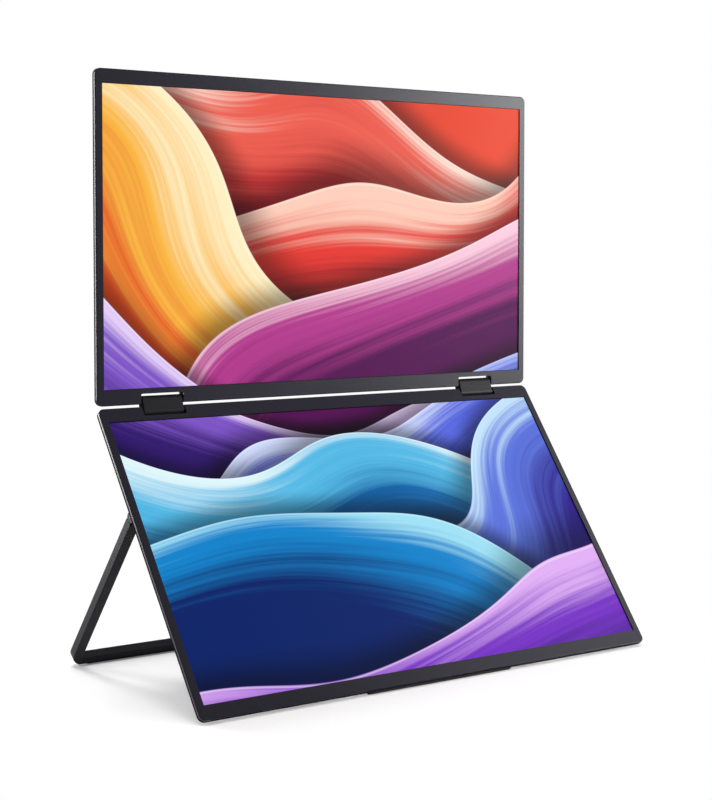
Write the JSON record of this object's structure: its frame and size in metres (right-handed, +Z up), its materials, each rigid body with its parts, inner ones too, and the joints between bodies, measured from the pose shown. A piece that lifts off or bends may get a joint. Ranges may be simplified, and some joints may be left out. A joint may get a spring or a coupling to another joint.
{
  "type": "dual portable monitor",
  "caption": "Folding portable monitor: stacked thin screens joined by hinge knuckles, standing on a foot strip and a fold-out frame stand.",
  "frame": {"origin": "on the table, below the middle of the standing monitor's box", "axes": "+X along the hinge to the viewer's right, +Y to the back, +Z up"},
  "size_m": [0.422, 0.215, 0.462],
  "materials": {
    "casing": "satin charcoal",
    "bezel": "fine satin",
    "upper_screen": "matte lit",
    "lower_screen": "matte lit",
    "light_guide": "white",
    "tape": "matte",
    "circuit_board": "lacquered",
    "chip": "matte",
    "ribbon": "satin",
    "hinge_steel": "ground",
    "screw_steel": "blackened",
    "knuckle": "satin charcoal",
    "cable": "matte",
    "speaker": "matte",
    "socket_metal": "plated",
    "button": "satin",
    "rubber": "matte",
    "stand_metal": "satin charcoal",
    "bracket": "plain"
  },
  "bodies": {
    "lower_module": {"lower_rear_cover": "casing", "lower_front_bezel": "bezel", "lower_display_panel": "lower_screen", "lower_backlight_unit": "light_guide", "lower_panel_tapes": "tape", "lower_driver_board": "circuit_board", "main_board": "circuit_board", "button_board": "circuit_board", "main_board_chips": "chip", "button_switches": "chip", "panel_ribbon": "ribbon", "lower_hinge_leaf_left": "hinge_steel", "lower_hinge_leaf_right": "hinge_steel", "lower_hinge_shaft_left": "hinge_steel", "lower_hinge_shaft_right": "hinge_steel", "lower_hinge_screws": "screw_steel", "main_board_screws": "screw_steel", "stand_bracket_screws": "screw_steel", "signal_cable_lower": "cable", "speaker_left": "speaker", "speaker_right": "speaker", "power_socket": "socket_metal", "data_socket": "socket_metal", "video_socket": "socket_metal", "foot_strip": "rubber", "stand_bracket_left": "bracket", "stand_bracket_right": "bracket"},
    "hinge_link": {"hinge_knuckle_left": "knuckle", "hinge_knuckle_right": "knuckle", "hinge_friction_clips": "hinge_steel", "signal_cable_link": "cable"},
    "upper_module": {"upper_rear_cover": "casing", "upper_front_bezel": "bezel", "upper_display_panel": "upper_screen", "upper_backlight_unit": "light_guide", "upper_panel_tapes": "tape", "upper_driver_board": "circuit_board", "upper_hinge_leaf_left": "hinge_steel", "upper_hinge_leaf_right": "hinge_steel", "upper_hinge_shaft_left": "hinge_steel", "upper_hinge_shaft_right": "hinge_steel", "upper_hinge_screws": "screw_steel", "signal_cable_upper": "cable"},
    "kickstand": {"stand_frame": "stand_metal", "stand_foot_strip": "rubber", "stand_arm_screws": "screw_steel", "stand_hinge_arm_left": "stand_metal", "stand_hinge_arm_right": "stand_metal", "stand_pin_left": "hinge_steel", "stand_pin_right": "hinge_steel", "stand_pin_springs_left": "hinge_steel", "stand_pin_springs_right": "hinge_steel"},
    "power_key": {"power_button": "button"},
    "brightness_up_key": {"brightness_up_button": "button"},
    "brightness_down_key": {"brightness_down_button": "button"}
  },
  "joints": [
    {"name": "lower_hinge_turn", "type": "hinge", "parent": "lower_module", "child": "hinge_link", "pos_m": [0, 0.04645, 0.20226], "axis": [-1, 0, 0], "range_deg": [-71.5, 70]},
    {"name": "upper_hinge_turn", "type": "hinge", "parent": "hinge_link", "child": "upper_module", "pos_m": [0, 0.04924, 0.2106], "axis": [-1, 0, 0], "range_deg": [-71.5, 70]},
    {"name": "stand_fold", "type": "hinge", "parent": "lower_module", "child": "kickstand", "pos_m": [0, 0, 0.12982], "axis": [1, 0, 0], "range_deg": [-76.2, 0]},
    {"name": "power_press", "type": "slide", "parent": "lower_module", "child": "power_key", "axis": [1, 0, 0], "range_m": [0, 0.0004], "stiffness_N_per_m": 1500},
    {"name": "brightness_up_press", "type": "slide", "parent": "lower_module", "child": "brightness_up_key", "axis": [1, 0, 0], "range_m": [0, 0.0004], "stiffness_N_per_m": 1500},
    {"name": "brightness_down_press", "type": "slide", "parent": "lower_module", "child": "brightness_down_key", "axis": [1, 0, 0], "range_m": [0, 0.0004], "stiffness_N_per_m": 1500}
  ]
}
